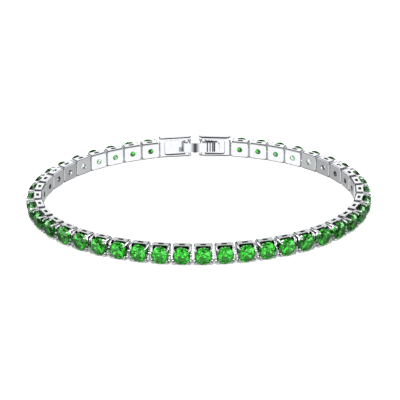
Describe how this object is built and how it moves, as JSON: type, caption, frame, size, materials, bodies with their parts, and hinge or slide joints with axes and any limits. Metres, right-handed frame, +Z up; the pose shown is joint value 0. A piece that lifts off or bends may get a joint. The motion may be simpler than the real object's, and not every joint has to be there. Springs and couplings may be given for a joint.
{
  "type": "tennis bracelet",
  "caption": "Silver tennis bracelet of square basket links, each with a round green cut stone, closed by a fold-over clasp and lying on its side in an oval.",
  "frame": {"origin": "middle of the outline's box, on the surface that the bracelet lies on", "axes": "+Z up, away from the surface and across the band; +Y towards the clasp; X along the oval's long side, with the lever's hinge on the -X side of the clasp"},
  "size_m": [0.072, 0.0554, 0.0045],
  "materials": {
    "silver": "mirror polished, rhodium plated",
    "green_stone": "cut and polished, transparent green"
  },
  "bodies": {
    "band": {"link_01": "silver", "link_02": "silver", "link_03": "silver", "link_04": "silver", "link_05": "silver", "link_06": "silver", "link_07": "silver", "link_08": "silver", "link_09": "silver", "link_10": "silver", "link_11": "silver", "link_12": "silver", "link_13": "silver", "link_14": "silver", "link_15": "silver", "link_16": "silver", "link_17": "silver", "link_18": "silver", "link_19": "silver", "link_20": "silver", "link_21": "silver", "link_22": "silver", "link_23": "silver", "link_24": "silver", "link_25": "silver", "link_26": "silver", "link_27": "silver", "link_28": "silver", "link_29": "silver", "link_30": "silver", "link_31": "silver", "link_32": "silver", "link_33": "silver", "link_34": "silver", "link_35": "silver", "link_36": "silver", "link_37": "silver", "link_38": "silver", "link_39": "silver", "link_40": "silver", "link_41": "silver", "clasp_housing_left": "silver", "clasp_housing_right": "silver"},
    "lever": {"clasp_lever": "silver"}
  },
  "joints": [
    {"name": "lever_hinge", "type": "hinge", "parent": "band", "child": "lever", "pos_m": [-0.00185, 0.02564, 0.00225], "axis": [0, 0, -1], "range_deg": [0, 130]}
  ]
}
